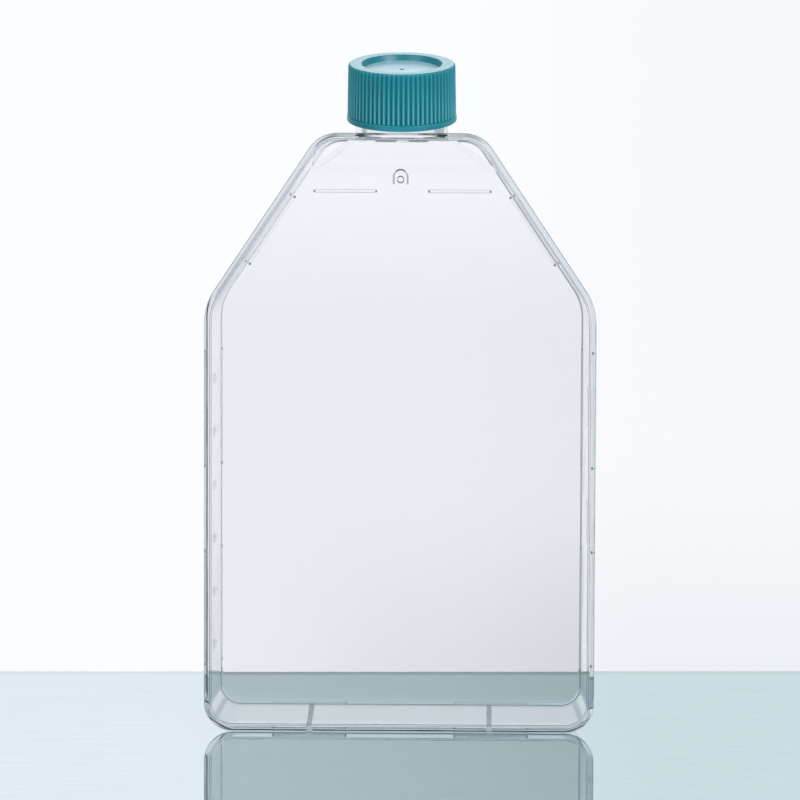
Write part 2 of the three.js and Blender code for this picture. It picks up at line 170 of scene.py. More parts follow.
# Cap and plug seal
CAP_RIM_CLEARANCE = 0.35
CAP_RIM_RADIUS = 18.35
CAP_HEIGHT = 19.6
CAP_SKIRT_WALL = 1.4
CAP_COLLAR_CLEARANCE = 0.35
CAP_FLANGE_HEIGHT = 1.9
CAP_FLANGE_PROUD = 1.05
CAP_TOP_RADIUS = 0.9
CAP_TOP_TAPER = 0.3
CAP_CEILING = 1.4
CAP_THREAD_DEPTH = 1.3
CAP_THREAD_TURNS = 1.6
RIB_COUNT = 68
RIB_HEIGHT = 0.85
RECESS_DIAMETER = 27.3
RECESS_DEPTH = 2.1
RECESS_TAPER = 0.9
DIMPLE_DIAMETER = 1.8
DIMPLE_DEPTH = 0.5
SEAL_GAP = 0.3
SEAL_THICKNESS = 1.1
SEAL_WALL = 1.2
SEAL_PLUG_LENGTH = 4.5
SEAL_PLUG_TAPER = 0.4

# Smoothness
CORNER_STEPS = 24
SAME_PLANE = 0.999998
EDGE_STEPS = 6
ROUND_COLUMNS = 192

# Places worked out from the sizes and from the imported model
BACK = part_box("flask_tray")[1].y / MM - RIDGE_RELIEF
FRONT = BACK - BODY_DEPTH
MIDDLE = (FRONT + BACK) / 2
WELD_PLANE = FRONT + COVER_THICKNESS
BODY_TOP = FOOT_LIFT + BODY_HEIGHT
SHOULDER_HEIGHT = BODY_HEIGHT - SHOULDER_DROP


def draft_at(y):
    """How far the walls have leaned inwards at depth y."""
    return (y - WELD_PLANE) * math.tan(DRAFT)


NECK_FOOT = BODY_TOP - draft_at(MIDDLE)
BORE_RADIUS = NECK_BORE / 2
NECK_RADIUS = BORE_RADIUS + NECK_WALL
COLLAR_RADIUS = NECK_RADIUS + COLLAR_PROUD
CAP_INNER_RADIUS = COLLAR_RADIUS + CAP_COLLAR_CLEARANCE
CAP_VALLEY_RADIUS = CAP_INNER_RADIUS + CAP_SKIRT_WALL
CAP_FLANGE_RADIUS = CAP_VALLEY_RADIUS + CAP_FLANGE_PROUD
CAP_CEILING_HEIGHT = CAP_HEIGHT - RECESS_DEPTH - CAP_CEILING
FLANGE_DIP = CAP_RIM_RADIUS * math.sin(NECK_CANT)
CAP_LIFT = (BODY_TOP - NECK_FOOT + CAP_RIM_CLEARANCE + FLANGE_DIP) / math.cos(NECK_CANT)
SEAL_DISC_TOP = CAP_CEILING_HEIGHT - SEAL_GAP
SEAL_DISC_BOTTOM = SEAL_DISC_TOP - SEAL_THICKNESS
NECK_LENGTH = CAP_LIFT + SEAL_DISC_BOTTOM - SEAL_GAP

# The neck frame's Z runs along the neck and out of its mouth.
NECK_MATRIX = Matrix.Translation((0, MIDDLE, NECK_FOOT)) @ Matrix.Rotation(NECK_CANT, 4, "X")
CAP_MATRIX = NECK_MATRIX @ Matrix.Translation((0, 0, CAP_LIFT))


# Mesh builders


def mesh_object(name, points, faces, matrix=None):
    """A mesh object from points in millimetres, placed by matrix."""
    mesh = bpy.data.meshes.new(name)
    placed = [Vector(point) for point in points]
    if matrix is not None:
        placed = [matrix @ point for point in placed]
    mesh.from_pydata([point * MM for point in placed], [], faces)
    mesh.validate()
    piece = bpy.data.objects.new(name, mesh)
    bpy.context.scene.collection.objects.link(piece)
    outward_normals(mesh)
    return piece


def outward_normals(mesh):
    edit = bmesh.new()
    edit.from_mesh(mesh)
    bmesh.ops.recalc_face_normals(edit, faces=edit.faces)
    edit.to_mesh(mesh)
    edit.free()


def inset_polygon(corners, inset):
    """The corners of a counter-clockwise polygon, moved inwards by inset."""
    moved = []
    for i, corner in enumerate(corners):
        before = corners[i - 1]
        after = corners[(i + 1) % len(corners)]
        edge_in = (corner - before).normalized()
        edge_out = (after - corner).normalized()
        normal_in = Vector((-edge_in.y, edge_in.x))
        normal_out = Vector((-edge_out.y, edge_out.x))
        shift = normal_in + normal_out
        moved.append(corner + shift * inset / (1 + normal_in.dot(normal_out)))
    return moved


def corner_arc(before, corner, after, radius):
    to_before = (before - corner).normalized()
    to_after = (after - corner).normalized()
    half_angle = math.acos(to_before.dot(to_after)) / 2
    centre = corner + (to_before + to_after).normalized() * radius / math.sin(half_angle)
    start = corner + to_before * radius / math.tan(half_angle) - centre
    turn = math.pi - 2 * half_angle
    points = []
    for step in range(CORNER_STEPS + 1):
        spoke = Matrix.Rotation(turn * step / CORNER_STEPS, 2) @ start
        points.append(centre + spoke)
    return points


def flask_corners(inset):
    half = BODY_WIDTH / 2
    corners = (
        (-half, 0),
        (half, 0),
        (half, SHOULDER_HEIGHT),
        (TOP_WIDTH / 2, BODY_HEIGHT),
        (-TOP_WIDTH / 2, BODY_HEIGHT),
        (-half, SHOULDER_HEIGHT),
    )
    return inset_polygon([Vector((x, z + FOOT_LIFT)) for x, z in corners], inset)


def flask_outline(inset, lean=0.0):
    """The flask's rounded outline in the front view, moved inwards by an inset and by the walls' lean."""
    radii = (BOTTOM_RADIUS, BOTTOM_RADIUS, SHOULDER_RADIUS, TOP_RADIUS, TOP_RADIUS, SHOULDER_RADIUS)
    corners = flask_corners(inset + lean)
    points = []
    for i, corner in enumerate(corners):
        after = corners[(i + 1) % len(corners)]
        radius = radii[i] - inset - CORNER_LEAN_SHARE * lean
        points += corner_arc(corners[i - 1], corner, after, radius)
    return points


def flask_loft(name, sections):
    """A closed skin through flask outlines. Each section is (y, inset, lean), from front to back."""
    rings = [[(p.x, y, p.y) for p in flask_outline(inset, lean)] for y, inset, lean in sections]
    return loft(name, rings)


def loft(name, rings, matrix=None):
    """A closed skin through rings of equal length, with a flat face at each end."""
    count = len(rings[0])
    faces = [list(range(count)), list(range((len(rings) - 1) * count, len(rings) * count))]
    for ring in range(len(rings) - 1):
        for i in range(count):
            near = ring * count
            after = (i + 1) % count
            faces.append((near + i, near + after, near + count + after, near + count + i))
    return mesh_object(name, [point for ring in rings for point in ring], faces, matrix)


def prism(name, outline, front, back):
    """A front-view outline run from depth front to depth back."""
    return loft(name, [[(x, y, z) for x, z in outline] for y in (front, back)])


def side_prism(name, outline, x, width):
    """A side-view outline run across width about X = x."""
    return loft(name, [[(end, y, z) for y, z in outline] for end in (x - width / 2, x + width / 2)])


def turned(name, profile, matrix, columns=ROUND_COLUMNS, reshape=None):
    """Turns (radius, height) pairs about Z. The profile starts and ends on the axis.

    reshape(angle, radius, height) may move a point, and gives its new radius and height.
    """
    points = [(0, 0, profile[0][1])]
    for radius, height in profile[1:-1]:
        for column in range(columns):
            angle = 2 * math.pi * column / columns
            r, z = reshape(angle, radius, height) if reshape else (radius, height)
            points.append((r * math.cos(angle), r * math.sin(angle), z))
    points.append((0, 0, profile[-1][1]))
    faces = []
    last_ring = 1 + (len(profile) - 3) * columns
    for column in range(columns):
        after = (column + 1) % columns
        faces.append((0, 1 + column, 1 + after))
        faces.append((len(points) - 1, last_ring + after, last_ring + column))
        for ring in range(len(profile) - 3):
            near = 1 + ring * columns
            far = near + columns
            faces.append((near + column, far + column, far + after, near + after))
    return mesh_object(name, points, faces, matrix)


def rounded(corner, radius, start_angle, end_angle, steps=EDGE_STEPS):
    """Profile points round an arc about corner, between two angles in degrees."""
    points = []
    for step in range(steps + 1):
        angle = math.radians(start_angle + (end_angle - start_angle) * step / steps)
        points.append((corner[0] + radius * math.cos(angle), corner[1] + radius * math.sin(angle)))
    return points


def steps_between(start, end, count):
    """Profile points from start to end, with both ends."""
    return [
        (
            start[0] + (end[0] - start[0]) * step / count,
            start[1] + (end[1] - start[1]) * step / count,
        )
        for step in range(count + 1)
    ]


def combine(target, other, operation):
    """Joins other to target, cuts it away or keeps what they share. other is used up."""
    modifier = target.modifiers.new("combine", "BOOLEAN")
    modifier.operation = operation
    modifier.solver = "MANIFOLD"
    modifier.object = other
    graph = bpy.context.evaluated_depsgraph_get()
    mesh = bpy.data.meshes.new_from_object(target.evaluated_get(graph))
    target.modifiers.clear()
    target.data = mesh
    bpy.data.objects.remove(other)
    return target


def flat_regions(mesh):
    """The area of the flat region each face belongs to."""
    edit = bmesh.new()
    edit.from_mesh(mesh)
    edit.faces.ensure_lookup_table()
    areas = [0.0] * len(edit.faces)
    seen = [False] * len(edit.faces)
    for seed in edit.faces:
        if seen[seed.index]:
            continue
        seen[seed.index] = True
        region = [seed]
        for face in region:
            for edge in face.edges:
                for other in edge.link_faces:
                    if not seen[other.index] and other.normal.dot(seed.normal) > SAME_PLANE:
                        seen[other.index] = True
                        region.append(other)
        area = sum(face.calc_area() for face in region)
        for face in region:
            areas[face.index] = area
    edit.free()
    return areas


def smooth(piece, angle):
    """Smooth shading across edges blunter than angle degrees. Wide flats keep their own direction."""
    mesh = piece.data
    areas = flat_regions(mesh)
    limit = math.cos(math.radians(angle))
    around = [[] for _ in mesh.vertices]
    for face in mesh.polygons:
        face.use_smooth = True
        for vertex in face.vertices:
            around[vertex].append((face.normal.copy(), areas[face.index]))
    normals = []
    for face in mesh.polygons:
        for vertex in face.vertices:
            total = Vector((0, 0, 0))
            for normal, area in around[vertex]:
                if normal.dot(face.normal) > limit:
                    total += normal * area
            normals.append(total.normalized())
    mesh.normals_split_custom_set(normals)


# Flask body


def seam_sections():
    """The outer skin round the weld: a fine groove where the cover plate meets the tray."""
    half = SEAM_WIDTH / 2
    return [
        (WELD_PLANE - half, 0, 0),
        (WELD_PLANE - half / 3, SEAM_DEPTH, 0),
        (WELD_PLANE + half / 3, SEAM_DEPTH, 0),
        (WELD_PLANE + half, 0, draft_at(WELD_PLANE + half)),
    ]


def drafted_back(y, inset, edge_radius):
    """Sections round the edge between a leaning wall and a flat face at depth y."""
    edge_start = y - edge_radius
    sections = []
    for step in range(EDGE_STEPS + 1):
        angle = step / EDGE_STEPS * math.pi / 2
        depth = edge_start + edge_radius * math.sin(angle)
        in_turn = inset + edge_radius * (1 - math.cos(angle))
        sections.append((depth, in_turn, draft_at(edge_start)))
    return sections


def outer_skin():
    sections = []
    for step in range(EDGE_STEPS + 1):
        angle = step / EDGE_STEPS * math.pi / 2
        depth = FRONT + COVER_EDGE_RADIUS * (1 - math.cos(angle))
        sections.append((depth, COVER_EDGE_RADIUS * (1 - math.sin(angle)), 0))
    sections += seam_sections()
    sections += drafted_back(BACK, 0, BACK_EDGE_RADIUS)
    return flask_loft("culture_flask_body", sections)


def ramp_cut(inset):
    """What the ramp takes away from the back. A positive inset moves its faces into the flask."""
    foot = BODY_TOP - RAMP_HEIGHT
    length = NECK_FOOT - WALL - foot
    bore_back = MIDDLE + BORE_RADIUS / math.cos(NECK_CANT) + WALL * math.tan(NECK_CANT)
    rise = BACK - FLOOR - bore_back - RAMP_BORE_CLEARANCE
    slope = math.atan2(rise, length)
    beyond = length + 2 * COLLAR_RADIUS * math.tan(NECK_CANT)
    shift_y = -inset * math.cos(slope)
    low = foot - inset * math.sin(slope)
    high = low + beyond
    wedge = side_prism(
        "ramp_wedge",
        [
            (BACK + shift_y, low),
            (BACK + 1, low),
            (BACK + 1, high),
            (BACK - rise * beyond / length + shift_y, high),
        ],
        0,
        BODY_WIDTH,
    )
    half_foot = RAMP_FOOT_WIDTH / 2
    half_top = half_foot - RAMP_SIDE_SLOPE * beyond
    corners = [
        Vector((-half_foot, foot)),
        Vector((half_foot, foot)),
        Vector((half_top, foot + beyond)),
        Vector((-half_top, foot + beyond)),
    ]
    funnel = prism("ramp_funnel", inset_polygon(corners, -inset), MIDDLE - 1, BACK + 2)
    return combine(wedge, funnel, "INTERSECT")


def cavity():
    front = (WELD_PLANE, WALL, 0)
    skin = flask_loft("cavity", [front, *drafted_back(BACK - FLOOR, WALL, CAVITY_EDGE_RADIUS)])
    combine(skin, ramp_cut(FLOOR), "DIFFERENCE")
    combine(skin, root_boss(), "DIFFERENCE")
    combine(skin, root_channel(), "UNION")
    return combine(skin, locating_bead(), "DIFFERENCE")


def locating_bead():
    """A round-topped bead that stands on the cover plate, just inside the tray's wall."""
    outer_inset = WALL + draft_at(WELD_PLANE + BEAD_HEIGHT) + BEAD_CLEARANCE
    centre_inset = outer_inset + BEAD_WIDTH / 2
    rings = []
    for depth, half in dome(BEAD_WIDTH / 2, BEAD_HEIGHT):
        rings.append([(p.x, WELD_PLANE + depth, p.y) for p in flask_outline(centre_inset - half)])
    for depth, half in reversed(dome(BEAD_WIDTH / 2, BEAD_HEIGHT)):
        rings.append([(p.x, WELD_PLANE + depth, p.y) for p in flask_outline(centre_inset + half)])
    count = len(rings[0])
    faces = []
    for ring in range(len(rings)):
        near = ring * count
        far = (ring + 1) % len(rings) * count
        for i in range(count):
            after = (i + 1) % count
            faces.append((near + i, near + after, far + after, far + i))
    return mesh_object("bead", [point for ring in rings for point in ring], faces)


def root_boss():
    """The neck's wall, carried on a little below the top wall inside the flask."""
    foot = BODY_TOP - WALL - ROOT_BOSS_DROP
    profile = [(0, 0), (COLLAR_RADIUS, 0), (COLLAR_RADIUS, 3), (0, 3)]
    lean = Matrix.Translation((0, WELD_PLANE, foot)) @ Matrix.Rotation(-DRAFT, 4, "X")
    return turned("root_boss", profile, lean @ Matrix.Translation((0, MIDDLE - WELD_PLANE, 0)))


def root_channel():
    """The flat-sided passage below the bore, as wide as the bore and open to the cover plate."""
    back = MIDDLE + BORE_RADIUS / math.cos(NECK_CANT) + ROOT_RELIEF
    low = BODY_TOP - 2 * WALL - ROOT_BOSS_DROP
    outline = [
        (WELD_PLANE, low),
        (back, low - draft_at(back)),
        (back, BODY_TOP - ROOT_ROOF - draft_at(back)),
        (WELD_PLANE, BODY_TOP - ROOT_ROOF),
    ]
    return side_prism("root_channel", outline, 0, NECK_BORE)


def thread_height(distance, half_width):
    """Share of a thread's full depth at a distance from its crest line."""
    return min(1.0, max(0.0, 2.0 * (1 - abs(distance) / half_width)))


def helix_share(angle, height, start, turns, half_width):
    """Share of the thread's depth at a place on a cylinder. The thread fades out at both ends."""
    best = 0.0
    for turn in range(-1, math.ceil(turns) + 1):
        along = angle / (2 * math.pi) + turn
        ends = min(along, turns - along) * 12
        fade = min(1.0, max(0.0, ends))
        crest = start + THREAD_LEAD * along
        best = max(best, fade * thread_height(height - crest, half_width))
    return best


def neck_solid():
    root = -(COLLAR_RADIUS * math.tan(NECK_CANT) + WALL)
    threaded = (COLLAR_HEIGHT + 1.0, NECK_LENGTH - 1.6)

    def with_thread(angle, radius, height):
        if radius < NECK_RADIUS - 0.01 or not threaded[0] < height < threaded[1]:
            return radius, height
        share = helix_share(angle, height, NECK_THREAD_START, NECK_THREAD_TURNS, 1.1)
        return radius + NECK_THREAD_DEPTH * share, height

    lip = NECK_LIP_RADIUS
    profile = [
        (0, root),
        (COLLAR_RADIUS, root),
        *rounded((COLLAR_RADIUS - COLLAR_CHAMFER, COLLAR_HEIGHT - COLLAR_CHAMFER), COLLAR_CHAMFER, 0, 90),
        (NECK_RADIUS + 0.3, COLLAR_HEIGHT),
        *steps_between((NECK_RADIUS, COLLAR_HEIGHT + 0.3), (NECK_RADIUS, NECK_LENGTH - lip), 70),
        *rounded((NECK_RADIUS - lip, NECK_LENGTH - lip), lip, 15, 90),
        (0, NECK_LENGTH),
    ]
    return turned("neck", profile, NECK_MATRIX, reshape=with_thread)


def bore_cut():
    bottom = -(BORE_RADIUS * math.tan(NECK_CANT) + 2 * WALL)
    lip = NECK_LIP_RADIUS
    flare = [(BORE_RADIUS + lip - x, NECK_LENGTH - lip + y) for x, y in rounded((0, 0), lip, 0, 90)]
    profile = [
        (0, bottom),
        (BORE_RADIUS, bottom),
        *flare,
        (BORE_RADIUS + lip, NECK_LENGTH + 2),
        (0, NECK_LENGTH + 2),
    ]
    return turned("bore", profile, NECK_MATRIX)


def dome(half_width, height, sink=0.5):
    """Pairs of height and half width up a round-topped bar that is sunk into the wall under it."""
    pairs = [(-sink, half_width)]
    for step in range(EDGE_STEPS + 1):
        angle = math.radians(84) * step / EDGE_STEPS
        pairs.append((height * math.sin(angle), half_width * math.cos(angle)))
    return pairs


def peak(half_width, height, sink=0.5):
    """The same for a bar with straight sloping sides and a narrow crest."""
    return [(-sink, half_width), (0, half_width), (height, half_width / 10)]


def bar_outline(start, end, width):
    """A bar with round ends between two points of the front view."""
    along = (end - start).normalized()
    angle = math.degrees(math.atan2(along.y, along.x))
    far_end = rounded(end, width / 2, angle - 90, angle + 90)
    near_end = rounded(start, width / 2, angle + 90, angle + 270)
    return far_end + near_end


def stacking_ridges():
    """Fine ridges on the back, each with a small pip at both ends."""
    side_x = BODY_WIDTH / 2 - RIDGE_INSET
    bottom_z = FOOT_LIFT + RIDGE_INSET
    cross_z = BODY_TOP - CROSS_RIDGE_BELOW_TOP
    shoulder_z = FOOT_LIFT + SHOULDER_HEIGHT
    corners = flask_corners(SHOULDER_RIDGE_INSET)
    slant = (corners[3] - corners[2]).normalized()
    low = FOOT_LIFT
    side = (RIDGE_WIDTH / 2, SIDE_RIDGE_RELIEF, 0.0)
    bottom = (RIDGE_WIDTH / 2, BOTTOM_RIDGE_RELIEF, 0.0)
    cross = (CROSS_RIDGE_WIDTH / 2, CROSS_RIDGE_RELIEF, CROSS_CREST_SHIFT * CROSS_RIDGE_WIDTH / 2)
    lines = [
        ((side_x, low + LOWER_SIDE_RIDGE[0]), (side_x, low + LOWER_SIDE_RIDGE[1]), side),
        ((side_x, shoulder_z - UPPER_SIDE_RIDGE[0]), (side_x, shoulder_z - UPPER_SIDE_RIDGE[1]), side),
        ((BOTTOM_RIDGE[0], bottom_z), (BOTTOM_RIDGE[1], bottom_z), bottom),
        (corners[2] + slant * SHOULDER_RIDGE[0], corners[2] + slant * SHOULDER_RIDGE[1], side),
        ((CROSS_RIDGE[0], cross_z), (CROSS_RIDGE[1], cross_z), cross),
    ]
    step = Vector((PIP_LENGTH, 0))
    ridges = []
    for start, end, (half_width, relief, rise) in lines:
        for mirror in (-1, 1):
            ends = [Vector((mirror * point[0], point[1])) for point in (start, end)]
            ridges.append(raised_bar(*ends, dome(half_width, relief), rise))
            for point in ends:
                ridges.append(raised_bar(point, point + step, peak(PIP_RADIUS, RIDGE_RELIEF)))
    return ridges


def on_back(x, z, height):
    return (x, BACK + height, z)


def on_cover(x, z, height):
    return (x, FRONT - height, z)


def on_left_wall(y, z, height):
    return (draft_at(y) - BODY_WIDTH / 2 - height, y, z)


def on_right_wall(y, z, height):
    return (BODY_WIDTH / 2 - draft_at(y) + height, y, z)


def raised_bar(start, end, section, rise=0.0, lift=on_back):
    """A bar on a wall. A rise moves its crest up, which makes its upper side steep."""
    rings = []
    for height, half in section:
        shift = Vector((0, rise * max(0.0, 1 - half / section[0][1])))
        outline = bar_outline(start + shift, end + shift, 2 * half)
        rings.append([lift(*point, height) for point in outline])
    return loft("bar", rings)


def graduations():
    """Raised volume marks on the left wall: a tick for each step, a number on every second one."""
    section = dome(MARK_LINE / 2, MARK_RELIEF)
    strokes = []
    for step in range(GRADUATION_COUNT):
        z = FIRST_GRADUATION + step * GRADUATION_SPACING
        numbered = step % 2 == 0
        length = LONG_TICK if numbered else SHORT_TICK
        strokes.append((Vector((MARK_START, z)), Vector((MARK_START - length, z))))
        if numbered:
            left = MARK_START - LONG_TICK - DIGIT_WIDTH
            for digit in str(FIRST_VOLUME + step * VOLUME_STEP):
                for name in DIGIT_STROKES[digit]:
                    ends = []
                    for u, v in STROKES[name]:
                        ends.append(Vector((left - u * DIGIT_WIDTH, z + (v - 0.5) * DIGIT_HEIGHT)))
                    strokes.append(tuple(ends))
                left -= DIGIT_PITCH * DIGIT_WIDTH
    marks = raised_bar(*strokes[0], section, 0.0, on_left_wall)
    for start, end in strokes[1:]:
        combine(marks, raised_bar(start, end, section, 0.0, on_left_wall), "UNION")
    return marks


def grip_pads():
    section = dome(PAD_WIDTH / 2, PAD_RELIEF)
    return [
        raised_bar(Vector((MIDDLE, low)), Vector((MIDDLE, high)), section, 0.0, on_right_wall)
        for low, high in PAD_HEIGHTS
    ]


def foot_rib(x):
    end = BACK - FOOT_SETBACK
    embed = FOOT_LIFT + WALL / 3
    outline = [
        (FRONT + COVER_THICKNESS, RIB_CLEARANCE),
        (end, RIB_CLEARANCE),
        (end, draft_at(end) + embed),
        (FRONT + COVER_THICKNESS, embed),
    ]
    return side_prism("foot_rib", outline, x, FOOT_WIDTH)


def swept(name, path, half_width, height, lift):
    """A raised line that follows a front-view path. lift(x, z, height) gives its 3-D points."""
    rings = []
    for i, point in enumerate(path):
        before = path[max(0, i - 1)]
        after = path[min(len(path) - 1, i + 1)]
        along = (after - before).normalized()
        across = Vector((-along.y, along.x))
        section = peak(half_width, height)
        ring = [lift(*(point - across * half), rise) for rise, half in section]
        ring += [lift(*(point + across * half), rise) for rise, half in reversed(section)]
        rings.append(ring)
    return loft(name, rings)


def gate_marks():
    centre_z = BODY_TOP - GATE_BELOW_TOP
    leg_end = centre_z - GATE_LEG
    radius = GATE_RADIUS - GATE_LINE / 2
    path = [Vector((radius, leg_end))]
    path += [Vector(point) for point in rounded((0, centre_z), radius, 0, 180, 24)]
    path.append(Vector((-radius, leg_end)))
    horseshoe = swept("gate_line", path, GATE_LINE / 2, GATE_RELIEF, on_cover)
    disc_z = centre_z - GATE_DISC_DROP
    crater = [(-0.5, 1), (0, 1), (GATE_RELIEF * 0.6, 0.84), (0.02, 0.66), (0.02, 0.1)]
    rings = []
    for height, share in crater:
        circle = rounded((0, disc_z), share * GATE_DISC_RADIUS, 0, 352.5, 47)
        rings.append([on_cover(x, z, height) for x, z in circle])
    return [horseshoe, loft("gate_disc", rings)]


def flask_body():
    body = combine(outer_skin(), ramp_cut(0), "DIFFERENCE")
    combine(body, neck_solid(), "UNION")
    for added in [*stacking_ridges(), *gate_marks(), *grip_pads(), graduations()]:
        combine(body, added, "UNION")
    for side in (-1, 1):
        combine(body, foot_rib(side * FOOT_SPACING / 2), "UNION")
    hollow = combine(cavity(), bore_cut(), "UNION")
    combine(body, hollow, "DIFFERENCE")
    smooth(body, 30)
    return body


# Screw cap and plug seal


def screw_cap():
    tip = CAP_VALLEY_RADIUS + RIB_HEIGHT
    recess_floor = CAP_HEIGHT - RECESS_DEPTH
    recess = RECESS_DIAMETER / 2
    shoulder = CAP_HEIGHT - CAP_TOP_RADIUS
    inner_corner = (CAP_INNER_RADIUS - CAP_TOP_RADIUS, CAP_CEILING_HEIGHT - CAP_TOP_RADIUS)
    rib_foot = CAP_FLANGE_HEIGHT + 0.15
    per_rib = 12

    def rib_share(angle):
        offset = abs(angle / (2 * math.pi) * RIB_COUNT % 1 - 0.5)
        return 0.5 + 0.5 * math.cos(math.pi * min(1.0, max(0.0, offset - 0.08) / 0.38))

    def reshape(angle, radius, height):
        if radius > CAP_INNER_RADIUS + 0.5 and height > rib_foot:
            valley = min(radius, CAP_VALLEY_RADIUS)
            share = rib_share(angle)
            return valley + (radius - valley) * share, height
        if abs(radius - CAP_INNER_RADIUS) < 0.01 and 2.5 < height < CAP_CEILING_HEIGHT - 2:
            start = NECK_THREAD_START - CAP_LIFT - THREAD_LEAD / 2
            share = helix_share(angle, height, start, CAP_THREAD_TURNS, 1.0)
            return radius - CAP_THREAD_DEPTH * share, height
        return radius, height

    taper_foot = (tip, rib_foot + 0.05)
    taper_top = (tip - CAP_TOP_TAPER, shoulder)
    profile = [
        (0, recess_floor - DIMPLE_DEPTH),
        (DIMPLE_DIAMETER / 5, recess_floor - DIMPLE_DEPTH * 0.9),
        (DIMPLE_DIAMETER / 2.6, recess_floor - DIMPLE_DEPTH * 0.35),
        (DIMPLE_DIAMETER / 2, recess_floor),
        *steps_between((3, recess_floor), (recess - RECESS_TAPER - 0.3, recess_floor), 4),
        (recess - RECESS_TAPER - 0.05, recess_floor + 0.08),
        (recess - RECESS_TAPER + 0.1, recess_floor + 0.35),
        *rounded((recess + 0.35, CAP_HEIGHT - 0.35), 0.35, 180, 90),
        *rounded((taper_top[0] - CAP_TOP_RADIUS, shoulder), CAP_TOP_RADIUS, 90, 0, 8),
        *steps_between(taper_top, taper_foot, 8)[1:],
        (CAP_VALLEY_RADIUS + 0.1, rib_foot - 0.02),
        *rounded((CAP_FLANGE_RADIUS - 0.25, CAP_FLANGE_HEIGHT - 0.25), 0.25, 90, 0, 4),
        *rounded((CAP_FLANGE_RADIUS - 0.35, 0.35), 0.35, 0, -90, 4),
        (CAP_INNER_RADIUS + 0.3, 0),
        (CAP_INNER_RADIUS + 0.02, 0.3),
        *steps_between((CAP_INNER_RADIUS, 1.5), (CAP_INNER_RADIUS, CAP_CEILING_HEIGHT - 1), 50),
        *rounded(inner_corner, CAP_TOP_RADIUS, 20, 90, 4),
        (0, CAP_CEILING_HEIGHT),
    ]
    cap = turned("screw_cap_shell", profile, CAP_MATRIX, RIB_COUNT * per_rib, reshape)
    smooth(cap, 35)
    return cap


def plug_seal():
    disc_radius = CAP_INNER_RADIUS - CAP_TOP_RADIUS - SEAL_GAP
    plug_radius = BORE_RADIUS - SEAL_GAP
    plug_inner = plug_radius - SEAL_WALL
    plug_end = SEAL_DISC_BOTTOM - SEAL_PLUG_LENGTH
    tip = SEAL_WALL / 2 - 0.1
    profile = [
        (0, SEAL_DISC_BOTTOM),
        (plug_inner - 0.5, SEAL_DISC_BOTTOM),
        (plug_inner - 0.12, SEAL_DISC_BOTTOM - 0.12),
        (plug_inner, SEAL_DISC_BOTTOM - 0.5),
        *rounded((plug_inner + tip, plug_end + tip), tip, 180, 270),
        (plug_radius - SEAL_PLUG_TAPER, plug_end + 0.05),
        (plug_radius, plug_end + 2 * SEAL_PLUG_TAPER),
        (plug_radius, plug_end + 3 * SEAL_PLUG_TAPER),
        (plug_radius - 0.2, plug_end + 4 * SEAL_PLUG_TAPER),
        (plug_radius - 0.2, SEAL_DISC_BOTTOM),
        *rounded((disc_radius - 0.2, SEAL_DISC_BOTTOM + 0.2), 0.2, -90, 0, 3),
        *rounded((disc_radius - 0.2, SEAL_DISC_TOP - 0.2), 0.2, 0, 90, 3),
        (0, SEAL_DISC_TOP),
    ]
    seal = turned("plug_seal_insert", profile, CAP_MATRIX)
    smooth(seal, 40)
    return seal


# Materials

TEAL = (0.004, 0.225, 0.285, 1)
TEAL_PALER = (0.008, 0.265, 0.325, 1)
# Painted shade for the rib grooves.
TEAL_GROOVE_SHADE = (0.003, 0.165, 0.210, 1)
# Painted highlight for the rib crests.
TEAL_CREST_HIGHLIGHT = (0.085, 0.400, 0.470, 1)
# Painted reflection for the recess floor.
TEAL_RECESS_FLOOR_REFLECTION = (0.25, 0.46, 0.53, 1)
# Painted shade for the recess wall.
TEAL_RECESS_WALL_SHADE = (0.003, 0.185, 0.235, 1)


class Nodes:
    """Short calls for building a node tree."""

    def __init__(self, owner):
        owner.use_nodes = True
        self.tree = owner.node_tree
        self.tree.nodes.clear()

    def add(self, kind, inputs=None, **settings):
        node = self.tree.nodes.new(kind)
        for name, value in settings.items():
            setattr(node, name, value)
        for name, value in (inputs or {}).items():
            if isinstance(value, bpy.types.NodeSocket):
                self.tree.links.new(value, node.inputs[name])
            else:
                node.inputs[name].default_value = value
        return node

    def math(self, operation, first, second=0.0):
        node = self.add("ShaderNodeMath", {0: first, 1: second}, operation=operation)
        return node.outputs[0]

    def product(self, *values):
        total = values[0]
        for value in values[1:]:
            total = self.math("MULTIPLY", total, value)
        return total

    def vector(self, operation, first, second=(0.0, 0.0, 0.0), output=0):
        node = self.add("ShaderNodeVectorMath", {0: first, 1: second}, operation=operation)
        return node.outputs[output]

    def ramp(self, value, low, high, to_low=0.0, to_high=1.0):
        """A smooth step of value from low to high."""
        inputs = {"Value": value, "From Min": low, "From Max": high, "To Min": to_low, "To Max": to_high}
        node = self.add("ShaderNodeMapRange", inputs, interpolation_type="SMOOTHSTEP")
        return node.outputs["Result"]

    def mix_colour(self, share, first, second):
        node = self.add("ShaderNodeMix", data_type="RGBA")
        for socket, value in (("Factor_Float", share), ("A_Color", first), ("B_Color", second)):
            target = next(s for s in node.inputs if s.identifier == socket)
            if isinstance(value, bpy.types.NodeSocket):
                self.tree.links.new(value, target)
            else:
                target.default_value = value
        return next(s for s in node.outputs if s.identifier == "Result_Color")

    def noise(self, vector, scale, detail=2.0, roughness=0.5):
        inputs = {"Vector": vector, "Scale": scale, "Detail": detail, "Roughness": roughness}
        return self.add("ShaderNodeTexNoise", inputs).outputs["Fac"]

    def scaled_position(self, scale):
        """Object coordinates, stretched by scale."""
        coordinates = self.add("ShaderNodeTexCoord").outputs["Object"]
        inputs = {"Vector": coordinates, "Scale": scale}
        return self.add("ShaderNodeMapping", inputs).outputs["Vector"]

    def bump(self, height, strength, distance):
        inputs = {"Height": height, "Strength": strength, "Distance": distance}
        return self.add("ShaderNodeBump", inputs).outputs["Normal"]


